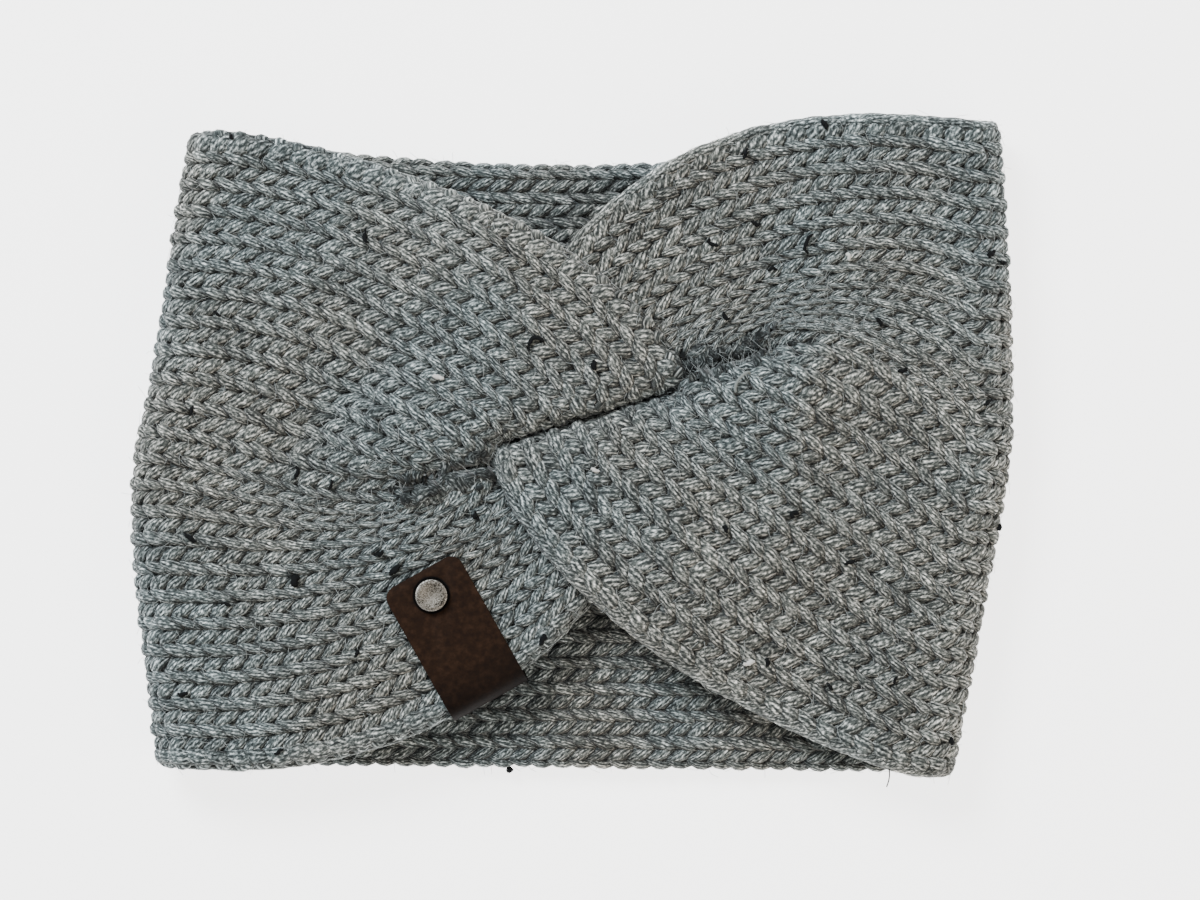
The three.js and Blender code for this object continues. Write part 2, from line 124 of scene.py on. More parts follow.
def hookPoint(side, across):
    share = across if side < 0 else 1 - across
    edge, layer, tipRadius = band["seamLength"] / 2, band["seamLayer"], band["tipRadius"]
    tip = -edge - band["seamTail"]
    angle = np.pi * np.clip((share - armShare) / (1 - 2 * armShare), 0, 1)
    arm = np.minimum(share, 1 - share) / armShare
    along = np.where(arm < 1, edge + (tip - edge) * arm, tip - tipRadius * np.sin(angle))
    close = layer + (tipRadius - layer) * ease((band["closingStart"] - edge - along) / band["seamClosing"])
    off = np.where(arm < 1, close * np.sign(share - 0.5), -tipRadius * np.cos(angle)) - layer / 2
    c, s = math.cos(band["seamTurn"]), math.sin(band["seamTurn"])
    return np.stack([band["knotX"] - side * (along * c - off * s), band["knotY"] - side * (along * s + off * c)], -1)


def overShare(side, across):
    return ease(0.5 - side * (across - 0.5) / band["overSpread"])


def foldPoint(side, across):
    rows = rowsAt(side, across)
    return np.stack([rows[:, 1] - side * (band["knit"] / 2 + foldRadius), rows[:, 2]], -1)


def swellAt(x, y):
    total = 0
    for sx, sy, wide, tall, turn, height in swells:
        c, s = math.cos(math.radians(turn)), math.sin(math.radians(turn))
        dx, dy = x - sx * band["halfSpan"], y - sy * band["halfHeight"]
        along = (dx * c + dy * s) / (wide * band["halfSpan"])
        off = (dy * c - dx * s) / (tall * band["halfHeight"])
        total = total + height * np.exp(-along ** 2 - off ** 2)
    return total


def lobeHeight(side, across, x, y):
    turn, out = band["seamTurn"], band["crossingReach"] / 2
    mx, my = band["knotX"] + side * math.sin(turn) * out, band["knotY"] - side * math.cos(turn) * out
    far = (np.hypot(x - mx, y - my) - band["crossingReach"]) / (band["crossingFade"] - band["crossingReach"])
    lift = (band["knit"] + band["layerGap"]) * overShare(side, across)
    calm = ease(across * (1 - across) / band["rimCalm"]) * ease(1 - side * (across - 0.5) / band["underCalm"])
    tx = band["knotX"] + side * math.cos(turn) * band["tailMiddle"]
    ty = band["knotY"] + side * math.sin(turn) * band["tailMiddle"]
    nearTail = np.exp(-((x - tx) ** 2 + (y - ty) ** 2) / band["tailSpread"] ** 2)
    rise = band["tailRise"][side] * nearTail * (1 - overShare(side, across))
    return frontZ + lift * (1 - ease(far)) + swellAt(x, y) * calm + rise


def stitchLines(side, across):
    n, wallSteps, restSteps = len(across), band["wallSteps"], band["foldSteps"] + band["backSteps"]
    rows = rowsAt(side, across)
    p3, p2, p1, p0 = hookPoint(side, across), rows[:, 5:7], rows[:, 3:5], foldPoint(side, across)
    t = np.linspace(0, 1, band["curveSteps"] + 1)[None, :, None]
    curve = (p3[:, None] * (1 - t) ** 3 + 3 * p2[:, None] * t * (1 - t) ** 2
             + 3 * p1[:, None] * t ** 2 * (1 - t) + p0[:, None] * t ** 3)
    gone = lengthsAlong(curve)
    share = np.linspace(0, 1, band["lobeSteps"]) ** band["lobeCrowding"]
    full = gone[:, -1]
    out = full[:, None] * share
    px = np.stack([np.interp(out[i], gone[i], curve[i, :, 0]) for i in range(n)])
    py = np.stack([np.interp(out[i], gone[i], curve[i, :, 1]) for i in range(n)])
    # the rolled edge by the crease
    underRoll = band["underRoll"][side]
    roll = underRoll + (band["overRoll"] - underRoll) * overShare(side, across)[:, None]
    hookAcross = np.linspace(0, 1, band["hookSteps"] + 1)
    hook = hookPoint(side, hookAcross)
    away = (px[..., None] - hook[:, 0]) ** 2 + (py[..., None] - hook[:, 1]) ** 2
    nearest = away.argmin(2)
    distance = np.sqrt(away.min(2))
    distance[:, 0] = 0
    hookRoll = underRoll + (band["overRoll"] - underRoll) * overShare(side, hookAcross)
    rollHere = (roll + hookRoll[nearest]) / 2
    drop = rollHere - np.sqrt(np.maximum(rollHere ** 2 - np.maximum(rollHere - distance, 0) ** 2, 0))
    rollStart, rollLength = band["rollFade"]
    drop = drop * (1 - ease((share - rollStart) / rollLength))
    z = lobeHeight(side, across[:, None], px, py) - drop
    levelStart, levelLength = band["lobeFade"]
    z = z + (frontZ - z) * ease((share - levelStart) / levelLength)
    lobe = np.stack([px, py, z], -1)
    # down to the seam, round the side fold and along the back to its middle
    wallShare = np.linspace(0, 1, wallSteps + 1)[:-1]
    wall = np.repeat(lobe[:, :1], wallSteps, 1)
    wall[:, :, 2] = seamZ + (z[:, :1] - seamZ) * wallShare
    angle = np.linspace(0, np.pi, band["foldSteps"] + 1)[1:]
    turnX = p0[:, :1] + side * foldRadius * np.sin(angle)
    turnZ = np.broadcast_to(backZ + foldRadius * (1 + np.cos(angle)), turnX.shape)
    turned = np.stack([turnX, np.broadcast_to(p0[:, 1:], turnX.shape), turnZ], -1)
    left, right = foldPoint(-1, across), foldPoint(1, across)
    backX = p0[:, :1] * (1 - np.linspace(0, 1, band["backSteps"] + 1)[1:])
    part = (backX - left[:, :1]) / (right[:, :1] - left[:, :1])
    dip = band["backDip"] * across[:, None] ** 2 * 4 * part * (1 - part)
    back = np.stack([backX, left[:, 1:] + (right[:, 1:] - left[:, 1:]) * part - dip, np.full_like(backX, backZ)], -1)
    line = np.concatenate([wall, lobe, turned, back], 1)
    thick = seamThick + (band["knit"] / 2 - seamThick) * ease(out / band["thickReach"])
    thick = np.concatenate([np.full((n, wallSteps), seamThick), thick, np.full((n, restSteps), band["knit"] / 2)], 1)
    out = np.concatenate([np.zeros((n, wallSteps)), out, np.repeat(full[:, None], restSteps, 1)], 1)
    return line, thick, out


rim = band["knit"] / 2
quarter, halfRound = rim * np.pi / 2, rim * np.pi + 2 * band["halfHeight"] - band["knit"]
place = np.linspace(0, halfRound, band["wales"] * band["perWale"] + 1)
fromEdge = np.minimum(place, halfRound - place)
inward = np.where(fromEdge < quarter, rim * (1 - np.cos(fromEdge / rim)), rim + fromEdge - quarter)
bulge = np.where(fromEdge < quarter, np.sin(np.minimum(fromEdge / rim, np.pi / 2)), 1.0)[:, None]
across = np.where(place < halfRound / 2, inward, 2 * band["halfHeight"] - inward) / (2 * band["halfHeight"])
lineL, thickL, outL = stitchLines(-1, across)
lineR, thickR, outR = stitchLines(1, across)
middle = lineL.shape[1] - 1
mid = np.concatenate([lineL, lineR[:, -2::-1]], 1)
thick = np.concatenate([thickL, thickR[:, -2::-1]], 1)
out = np.concatenate([outL, outR[:, -2::-1]], 1)
face = unit(np.cross(unit(np.gradient(mid, axis=0)), unit(np.gradient(mid, axis=1))))
nearMiddle = np.exp(-((across[:, None] - 0.5) / band["grooveWidth"]) ** 2)
groove = band["grooveDepth"] * nearMiddle * (1 - ease(out / band["grooveReach"]))
groove = groove * ease(band["grooveShare"] + out / band["grooveStart"])
gather = band["rollGather"] + (1 - band["rollGather"]) * ease(out / band["rollGatherReach"])
upper = mid + face * (thick * bulge - groove)[..., None]
under = mid - face * (thick * bulge * gather)[..., None]
tube = np.concatenate([upper, under[-2:0:-1]], 0) + np.array(band["shift"])  # one ring of lines, 48 wales round
around = np.roll(tube, -1, 0) - np.roll(tube, 1, 0)
outward = unit(np.cross(unit(around), unit(np.gradient(tube, axis=1))))
gone = lengthsAlong(tube)
gone = gone - gone[:, middle:middle + 1]
reach = float(max(-gone[:, 0].min(), gone[:, -1].max()))
uLine = np.arange(-reach, reach + band["step"], band["step"])
ringLines = len(tube)


def evenly(field):
    rows = [np.stack([np.interp(uLine, g, a[:, k]) for k in range(3)], -1) for g, a in zip(gone, field)]
    return np.stack(rows)


surface, normals = evenly(tube), unit(evenly(outward))
print("surface", tube.shape, "lines", ringLines, "length", round(2 * reach))


def onTube(u, q, height=0.0):
    # u is a length along the tube, q a place round it in wales
    a = (q * band["perWale"]) % ringLines
    i = np.floor(a).astype(int) % ringLines
    f = (a - np.floor(a))[..., None]
    b = np.clip((u + reach) / band["step"], 0, len(uLine) - 1.001)
    j = np.floor(b).astype(int)
    g = (b - j)[..., None]
    k = (i + 1) % ringLines

    def between(field):
        here = field[i, j] * (1 - g) + field[i, j + 1] * g
        beside = field[k, j] * (1 - g) + field[k, j + 1] * g
        return here * (1 - f) + beside * f

    spot, way = between(surface), unit(between(normals))
    return spot + way * np.asarray(height)[..., None], way


# materials
def linear(code):
    parts = [int(code[i:i + 2], 16) / 255 for i in (1, 3, 5)]
    return tuple([p / 12.92 if p <= 0.04045 else ((p + 0.055) / 1.055) ** 2.4 for p in parts] + [1.0])


def node(tree, kind, settings=None, values=None):
    made = tree.nodes.new(kind)
    for key, value in (settings or {}).items():
        setattr(made, key, value)
    for key, value in (values or {}).items():
        if isinstance(value, bpy.types.NodeSocket):
            tree.links.new(value, made.inputs[key])
        else:
            made.inputs[key].default_value = value
    return made


def ramp(tree, source, stops):
    made = node(tree, "ShaderNodeValToRGB", values={"Fac": source})
    while len(made.color_ramp.elements) < len(stops):
        made.color_ramp.elements.new(0.5)
    for element, (at, code) in zip(made.color_ramp.elements, stops):
        element.position = at
        element.color = linear(code)
    return made.outputs["Color"]


def noise(tree, place, scale, detail, roughness=0.5, distortion=0.0):
    values = {"Vector": place, "Scale": scale, "Detail": detail, "Roughness": roughness, "Distortion": distortion}
    return node(tree, "ShaderNodeTexNoise", values=values).outputs["Fac"]


def blend(tree, share, one, other):
    values = {"Factor": share, "A": one, "B": other}
    return node(tree, "ShaderNodeMix", {"data_type": "FLOAT"}, values).outputs["Result"]


def multiplied(tree, one, other):
    settings = {"data_type": "RGBA", "blend_type": "MULTIPLY"}
    return node(tree, "ShaderNodeMix", settings, {"Factor": 1.0, "A": one, "B": other}).outputs["Result"]


def newMaterial(name):
    made = bpy.data.materials.new(name)
    made.use_nodes = True
    return made, made.node_tree, made.node_tree.nodes["Principled BSDF"]


def surfaceOf(tree, shader, colour, height, strength, distance):
    bump = node(tree, "ShaderNodeBump", values={"Strength": strength, "Distance": distance, "Height": height})
    tree.links.new(colour, shader.inputs["Base Color"])
    tree.links.new(bump.outputs["Normal"], shader.inputs["Normal"])


yarnLook = {
    "layers": ((8, 10.0, 24.0), (-14, 13.0, 36.0)),  # the fibres' lean in degrees, scale along and across the yarn
    "plies": {"Scale": 4.2, "Distortion": 5.0, "Detail": 2.5, "Detail Scale": 0.8, "Detail Roughness": 0.6},
    "fibreRoughness": 0.55, "plyShare": 0.1, "heatherShare": 0.14, "heatherScale": 420.0, "warmScale": 28.0,
    "stops": [(0.34, "#1a1d1e"), (0.43, "#363b3b"), (0.5, "#5a5f5d"), (0.56, "#979b99"), (0.64, "#f4f6f3")],
    "tint": [(0.4, "#f1fafd"), (0.6, "#fffaf3")],
    "groundTurn": (0.3, 0.2, 0.7), "groundDraw": (1.0, 4.0, 3.0), "groundScale": 800.0, "groundBend": 0.6,
    # the fabric's ground is coloured dark: painted shade seen between the legs
    "groundShadowStops": [(0.38, "#1d2122"), (0.5, "#3f4544"), (0.62, "#8b908e")],
    "roughness": 0.95, "sheen": 0.15, "sheenRoughness": 0.5, "specular": 0.12,
    "bump": (0.6, 0.0005), "groundBump": (0.9, 0.0005),  # strength, and depth in metres
}


def woolYarn():
    made, tree, shader = newMaterial("heathered wool yarn")
    uv = node(tree, "ShaderNodeUVMap", {"uv_map": "yarn"}).outputs["UV"]
    layers = []
    for lean, along, across in yarnLook["layers"]:
        leaned = node(tree, "ShaderNodeMapping", values={"Vector": uv, "Rotation": (0, 0, math.radians(lean))})
        values = {"Vector": leaned.outputs["Vector"], "Scale": (along, across, 1)}
        drawn = node(tree, "ShaderNodeMapping", values=values).outputs["Vector"]
        layers.append(noise(tree, drawn, 1.0, 2.0, yarnLook["fibreRoughness"]))
    settings = {"wave_type": "BANDS", "bands_direction": "Y"}
    plies = node(tree, "ShaderNodeTexWave", settings, {"Vector": uv, **yarnLook["plies"]}).outputs["Fac"]
    place = node(tree, "ShaderNodeTexCoord").outputs["Object"]
    relief = blend(tree, yarnLook["plyShare"], blend(tree, 0.5, *layers), plies)
    heather = noise(tree, place, yarnLook["heatherScale"], 2.0, 0.6)
    colour = ramp(tree, blend(tree, yarnLook["heatherShare"], relief, heather), yarnLook["stops"])
    tint = ramp(tree, noise(tree, place, yarnLook["warmScale"], 1.0), yarnLook["tint"])
    # the tone attribute holds each leg's random tone times its painted shade
    tone = node(tree, "ShaderNodeAttribute", {"attribute_name": "tone"}).outputs["Color"]
    toned = multiplied(tree, multiplied(tree, colour, tint), tone)
    surfaceOf(tree, shader, toned, relief, *yarnLook["bump"])
    shader.inputs["Roughness"].default_value = yarnLook["roughness"]
    shader.inputs["Sheen Weight"].default_value = yarnLook["sheen"]
    shader.inputs["Sheen Roughness"].default_value = yarnLook["sheenRoughness"]
    shader.inputs["Specular IOR Level"].default_value = yarnLook["specular"]
    return made


def groundWool():
    made, tree, shader = newMaterial("wool in shadow")
    place = node(tree, "ShaderNodeTexCoord").outputs["Object"]
    values = {"Vector": place, "Rotation": yarnLook["groundTurn"], "Scale": yarnLook["groundDraw"]}
    drawn = node(tree, "ShaderNodeMapping", values=values).outputs["Vector"]
    grain = noise(tree, drawn, yarnLook["groundScale"], 3.0, distortion=yarnLook["groundBend"])
    # painted shade: the core is dark grey, like yarn in shadow between the legs
    surfaceOf(tree, shader, ramp(tree, grain, yarnLook["groundShadowStops"]), grain, *yarnLook["groundBump"])
    shader.inputs["Roughness"].default_value = yarnLook["roughness"]
    return made


wool, ground = woolYarn(), groundWool()


# meshes from arrays
def meshPiece(name, points, faces, material, extra=None):
    mesh = bpy.data.meshes.new(name)
    counts = np.concatenate([np.full(len(f), f.shape[1], dtype=np.int32) for f in faces])
    corners = np.concatenate([f.ravel() for f in faces]).astype(np.int32)
    mesh.vertices.add(len(points))
    mesh.vertices.foreach_set("co", (points * mm).astype(np.float32).ravel())
    mesh.loops.add(len(corners))
    mesh.loops.foreach_set("vertex_index", corners)
    mesh.polygons.add(len(counts))
    mesh.polygons.foreach_set("loop_start", np.concatenate([[0], np.cumsum(counts)[:-1]]).astype(np.int32))
    mesh.update(calc_edges=True)
    for key, value in (extra or {}).items():
        if value.shape[1] == 2:
            layer = mesh.uv_layers.new(name=key)
            layer.data.foreach_set("uv", value.astype(np.float32).ravel())
        else:
            layer = mesh.color_attributes.new(key, "FLOAT_COLOR", "POINT")
            layer.data.foreach_set("color", value.astype(np.float32).ravel())
    mesh.validate()
    mesh.shade_smooth()
    piece = bpy.data.objects.new(name, mesh)
    bpy.context.collection.objects.link(piece)
    piece.data.materials.append(material)
    return piece


def tubeFaces(count, rings, sides):
    # quads of many short round tubes, with a flat cap at each end
    base = (np.arange(count) * rings * sides)[:, None, None]
    i, j = np.meshgrid(np.arange(rings - 1), np.arange(sides), indexing="ij")
    k = (j + 1) % sides
    quad = np.stack([i * sides + j, i * sides + k, (i + 1) * sides + k, (i + 1) * sides + j], -1).reshape(-1, 4)
    capA = base[:, 0] + np.arange(sides)[::-1][None]
    capB = base[:, 0] + (rings - 1) * sides + np.arange(sides)[None]
    return [(base + quad[None]).reshape(-1, 4), capA, capB]


# the ground of the fabric, one closed body inside the stitches
core = {"inset": 1.5, "alongStep": 3, "aroundStep": 4}


def fabricGround():
    keep = list(range(0, tube.shape[1], core["alongStep"]))
    if keep[-1] != tube.shape[1] - 1:
        keep.append(tube.shape[1] - 1)
    ring = slice(0, ringLines, core["aroundStep"])
    points = (tube - outward * core["inset"])[ring][:, keep]
    around, along = points.shape[:2]
    i, j = np.meshgrid(np.arange(around), np.arange(along - 1), indexing="ij")
    k = (i + 1) % around
    quads = np.stack([i * along + j, k * along + j, k * along + j + 1, i * along + j + 1], -1).reshape(-1, 4)
    a = np.arange(around // 2)
    pairs = np.stack([a, a + 1, (around - a - 1) % around, (around - a) % around], -1) * along
    ends = [pairs[:, ::-1], pairs + along - 1]
    return meshPiece("knit_ground", points.reshape(-1, 3), [quads] + ends, ground)


knitGround = fabricGround()
print("ground", len(knitGround.data.polygons))

# stitches, two yarn legs each
stitch = {
    "pitch": 4.75, "upperWide": 1.42, "lowerWide": 1.62, "halfTall": 1.3, "depth": 1.05,
    "twist": math.tan(math.radians(11)), "waver": 0.09,
    "starts": -0.36, "ends": 1.2,  # along the wale, in courses
    "upperLeg": (0.0, 0.48), "lowerLeg": (0.0, -0.57), "upperRise": 0.25,  # across the wale, in wales
    "rootDrop": 1.3, "rootReach": 0.36, "tipDrop": 1.5, "tipStart": 0.64, "tipReach": 0.36,
    "jitter": 0.26, "sideJitter": 0.018, "depthJitter": 0.1, "sizeJitter": 0.07,
    "tightest": 0.15, "narrowest": 0.36, "widest": 1.5, "flattest": 0.6, "tallest": 1.05,  # shares of a free wale
    "fullStart": 0.05, "fullLength": 0.92, "fullness": 0.75, "rootCurve": 1.3, "tipCurve": 1.4,
    # each leg's tone varies at random, and its ends and underside are darkened with painted shade
    "toneJitter": 0.16, "toneRange": (0.6, 1.45), "endShade": 0.36, "undersideShade": 0.38,
    "shadeStart": 0.1, "shadeRoot": 0.26, "shadeTip": 0.3,  # where a leg's ends are darkened with painted shade, along it
    "mapScale": 0.1, "mapRound": 1.1, "mapSpread": 40,  # map units to a mm, stretch round the yarn, range of the shift
}
# a leg's cell in the bake map, as shares of the cell
bakeCell = {
    "margin": 0.06, "long": 0.82, "round": 0.88,
    "capX": 0.94, "capY": 0.3, "capWide": 0.025, "capTall": 0.06, "capGap": 0.4,
}


def legPlaces(wales, low, high):
    q, u = [], []
    for wale in wales:
        first, last = low(wale + 0.5), high(wale + 0.5)
        row = np.arange(math.ceil(first / stitch["pitch"]), math.floor(last / stitch["pitch"]) + 1) * stitch["pitch"]
        q.append(np.full(len(row), wale + 0.5))
        u.append(row)
    q, u = np.repeat(np.concatenate(q), 2), np.repeat(np.concatenate(u), 2)
    upperLeg = np.tile([True, False], len(q) // 2)
    room = np.linalg.norm(onTube(u, q + 0.5)[0] - onTube(u, q - 0.5)[0], axis=1) / (halfRound / band["wales"])
    loose = room > stitch["tightest"]
    return q[loose], u[loose], room[loose], upperLeg[loose]


def legMaps(centre, sides):
    # the yarn's own map follows the ply's twist, and the bake map gives each leg a cell
    count, rings = centre.shape[:2]
    i, j = np.meshgrid(np.arange(rings - 1), np.arange(sides), indexing="ij")
    ii = np.stack([i, i, i + 1, i + 1], -1).reshape(-1, 4)
    jj = np.stack([j, j + 1, j + 1, j], -1).reshape(-1, 4)
    scale, spread = stitch["mapScale"], stitch["mapSpread"]
    shiftX, shiftY = rng.uniform(0, spread, count), rng.uniform(0, spread, count)
    angle = (-np.pi + np.pi / sides + jj * 2 * np.pi / sides)
    along = lengthsAlong(centre)[:, ii]
    around = stitch["mapRound"] * angle[None] - along * stitch["twist"]
    yarn = np.stack([along * scale + shiftX[:, None, None], around * scale + shiftY[:, None, None]], -1).reshape(-1, 2)
    capYarn = np.zeros((2 * count * sides, 2)) + 0.5
    columns = math.ceil(math.sqrt(count))
    cell = 1 / columns
    cx, cy = (np.arange(count) % columns) * cell, (np.arange(count) // columns) * cell
    bakeX = cx[:, None, None] + cell * (bakeCell["margin"] + bakeCell["long"] * ii[None] / (rings - 1))
    bakeY = cy[:, None, None] + cell * (bakeCell["margin"] + bakeCell["round"] * jj[None] / sides)
    bake = np.stack([bakeX, bakeY], -1).reshape(-1, 2)
    capTurn = np.linspace(0, 2 * np.pi, sides, endpoint=False)
    capX = bakeCell["capX"] + bakeCell["capWide"] * np.cos(capTurn)
    capY = bakeCell["capY"] + bakeCell["capTall"] * np.sin(capTurn)
    capBake = np.stack([cx, cy], -1)[:, None] + np.stack([capX, capY], -1)[None] * cell
    otherCap = capBake + [0, bakeCell["capGap"] * cell]
    bake = np.concatenate([bake, capBake.reshape(-1, 2), otherCap.reshape(-1, 2)])
    return {"yarn": np.concatenate([yarn, capYarn]), "OFBake": bake}


def legToneAndShade(count, t, c):
    toneLeg = np.clip(1 + rng.normal(0, stitch["toneJitter"], count), *stitch["toneRange"])
    # painted shade: darker towards both ends of a leg, where it tucks under its neighbours
    fromEnds = np.minimum((t - stitch["shadeStart"]) / stitch["shadeRoot"], (1 - t) / stitch["shadeTip"])
    ends = stitch["endShade"] + (1 - stitch["endShade"]) * np.clip(fromEnds, 0, 1)
    # painted shade: darker on a leg's sides and underside, lightest on its top
    low = stitch["undersideShade"] + (1 - stitch["undersideShade"]) * np.clip(c, 0, 1)
    tone = toneLeg[:, None, None] * ends[None, :, None] * low[None, None]
    tone = np.repeat(tone.reshape(-1, 1), 4, 1)
    tone[:, 3] = 1
    return tone


def knitLegs(name, wales, low, high, rings, sides):
    q, u, room, upperLeg = legPlaces(wales, low, high)
    count, t = len(q), np.linspace(0, 1, rings)
    start = np.where(upperLeg, stitch["upperLeg"][0], stitch["lowerLeg"][0])
    end = np.where(upperLeg, stitch["upperLeg"][1], stitch["lowerLeg"][1])
    start = start + rng.normal(0, stitch["sideJitter"], count)
    end = end + rng.normal(0, stitch["sideJitter"], count)
    course = stitch["starts"] + (stitch["ends"] - stitch["starts"]) * t
    qq = q[:, None] + start[:, None] + (end - start)[:, None] * t[None]
    uu = u[:, None] + stitch["pitch"] * course[None] + rng.normal(0, stitch["jitter"], count)[:, None]
    root = stitch["rootDrop"] * np.clip(1 - t / stitch["rootReach"], 0, 1) ** stitch["rootCurve"]
    tip = stitch["tipDrop"] * np.clip((t - stitch["tipStart"]) / stitch["tipReach"], 0, 1) ** stitch["tipCurve"]
    rise = -stitch["depth"] - root - tip
    lifted = rng.normal(0, stitch["depthJitter"], count) + np.where(upperLeg, stitch["upperRise"], 0)
    centre, way = onTube(uu, qq, rise[None] + lifted[:, None])
    run = unit(np.gradient(centre, axis=1))
    aside = unit(np.cross(way, run))
    lift = np.cross(run, aside)
    size = 1 + rng.normal(0, stitch["sizeJitter"], count)
    full = np.clip((t - stitch["fullStart"]) / stitch["fullLength"], 0, 1)
    swell = 0.5 + 0.5 * np.sin(np.pi * full) ** stitch["fullness"]
    wobble = 1 + stitch["waver"] * np.sin(rng.uniform(0, 6.3, count)[:, None] + 2.6 * np.pi * t[None])
    halfWide = np.where(upperLeg, stitch["upperWide"], stitch["lowerWide"])
    wideRoom, tallRoom = (stitch["narrowest"], stitch["widest"]), (stitch["flattest"], stitch["tallest"])
    wide = halfWide[:, None] * (size * np.clip(room, *wideRoom))[:, None] * swell * wobble
    tall = stitch["halfTall"] * (size * np.clip(room, *tallRoom))[:, None] * swell
    theta = np.linspace(-np.pi, np.pi, sides + 1)[:-1] + np.pi / sides
    c, s = np.cos(theta), np.sin(theta)
    sideways = aside[:, :, None] * (wide[:, :, None] * s)[..., None]
    points = centre[:, :, None] + sideways + lift[:, :, None] * (tall[:, :, None] * c)[..., None]
    extra = legMaps(centre, sides)
    extra["tone"] = legToneAndShade(count, t, c)
    print(name, count, "legs")
    return meshPiece(name, points.reshape(-1, 3), tubeFaces(count, rings, sides), wool, extra)


def lineAt(lines):
    closed = np.append(lines, lines[0])

    def at(q):
        return float(np.interp((q * band["perWale"]) % ringLines, np.arange(ringLines + 1), closed))
    return at


foldColumn = band["wallSteps"] + band["lobeSteps"] + band["foldSteps"]
lobeStart, lobeEnd = lineAt(gone[:, 0]), lineAt(gone[:, -1])
leftFold, rightFold = lineAt(gone[:, foldColumn - 1]), lineAt(gone[:, tube.shape[1] - foldColumn])
faceWales, liningWales = range(band["wales"]), range(band["wales"], 2 * band["wales"])
# name, wales, first and last length along the tube, rings and sides of a leg
# the legs stop a few mm short of the seam, more in the lining
legRows = [
    ("knit_left", faceWales, lambda q: lobeStart(q) + 1, leftFold, 8, 8),
    ("knit_right", faceWales, rightFold, lambda q: lobeEnd(q) - 3, 8, 8),
    ("knit_back", faceWales, leftFold, rightFold, 6, 6),
    ("lining_back", liningWales, leftFold, rightFold, 6, 6),
    ("lining_left", liningWales, lambda q: lobeStart(q) + 6, leftFold, 5, 6),
    ("lining_right", liningWales, rightFold, lambda q: lobeEnd(q) - 6, 5, 6),
]
knitPieces = [knitLegs(*row) for row in legRows]

# the rivet's place, in mm, and its finish
rivet = {
    "x": -33.1, "y": -35.3, "edge": 0.3, "rim": 0.75, "step": 0.22, "dish": 0.1, "pits": 3600.0,
    "worn": (2.9, 3.9),  # the cap's bright ring, a painted highlight, and its dark outer edge, in mm from its middle
}
# neps, a stray hair, a pulled loop and loose fibres, all thin round threads
neps = {
    # x and y on the face, in mm, with a length and a radius
    "dark": [
        (60, 77, 3, 0.6), (42, 70, 3, 0.5), (44, 54, 3, 0.5), (57.5, 49, 6.5, 0.45), (34.5, 49, 4, 0.5),
        (48, 42, 3, 0.5), (37, 32, 3, 0.5), (100.5, 45, 3.5, 0.6), (103, 43.5, 3, 0.5), (73, 28, 3, 0.45),
        (-48.5, 51, 4.5, 0.45), (-81, 74, 2, 0.4), (-85, 31, 2.5, 0.4), (-91, 8, 3, 0.4), (-91, -22, 4, 0.6),
        (-66, -6.5, 4, 0.45), (-57, -10.5, 3, 0.4), (-7, 22.5, 7, 0.5), (6, 18, 3, 0.7), (-33.5, -9.5, 3, 0.45),
        (-22, -17.5, 3, 0.5), (79, 19, 3, 0.5), (99.5, 10.3, 3, 0.5), (54, -17, 3.5, 0.6), (37, -20, 2.5, 0.5),
        (67, -27.5, 3, 0.5), (102.5, -19.3, 2.5, 0.5), (-65, -33, 4, 0.95), (-46.5, -26, 3, 0.6),
        (-41.7, -30.5, 4, 0.8), (-82.5, -39, 3, 0.4), (-51, -50, 3, 0.4), (-93, -58, 3, 0.6), (-70, -73.3, 3, 0.5),
        (-7, -47, 3.5, 0.75), (17, -57.2, 3, 0.5), (23, -73, 2.5, 0.45), (-14, -77, 3, 0.75), (46.5, -52, 3, 0.65),
        (61.5, -58, 2.5, 0.4), (78, -56, 2.5, 0.4), (91, -70, 2.5, 0.6), (35, -60, 2.5, 0.4),
    ],
    "pale": [
        (42.5, -51.7, 3.5, 0.7), (-31.7, 16.7, 3, 0.65), (5.3, -5.3, 2.5, 0.5),
        (66, 45, 2.5, 0.5), (-18, -64, 2.5, 0.4),
    ],
    "rings": 9, "sides": 7, "wander": 0.55, "above": 0.35, "heightJitter": 0.12, "sizeJitter": 0.14, "thinEnds": 0.35,
    "search": 1.3,  # how far round a place the topmost point is looked for, in mm
}
crossAxis = np.array([0.31, 0.12, 0.94])  # the threads' rings are squared to it
face = surface[: ringLines // 2 + 1].reshape(-1, 3)
faceWay = normals[: ringLines // 2 + 1].reshape(-1, 3)


def topPlace(x, y):
    near = np.hypot(face[:, 0] - x, face[:, 1] - y)
    close = np.where(near < max(neps["search"], near.min() + 0.2))[0]
    best = close[face[close, 2].argmax()]
    return face[best], faceWay[best]


def threads(name, paths, radii, sides, material):
    count, rings = paths.shape[:2]
    run = unit(np.gradient(paths, axis=1))
    side = unit(np.cross(run, crossAxis))
    other = np.cross(run, side)
    turn = np.linspace(0, 2 * np.pi, sides, endpoint=False)
    ringWay = side[:, :, None] * np.cos(turn)[:, None] + other[:, :, None] * np.sin(turn)[:, None]
    points = paths[:, :, None] + radii[:, :, None, None] * ringWay
    return meshPiece(name, points.reshape(-1, 3), tubeFaces(count, rings, sides), material)


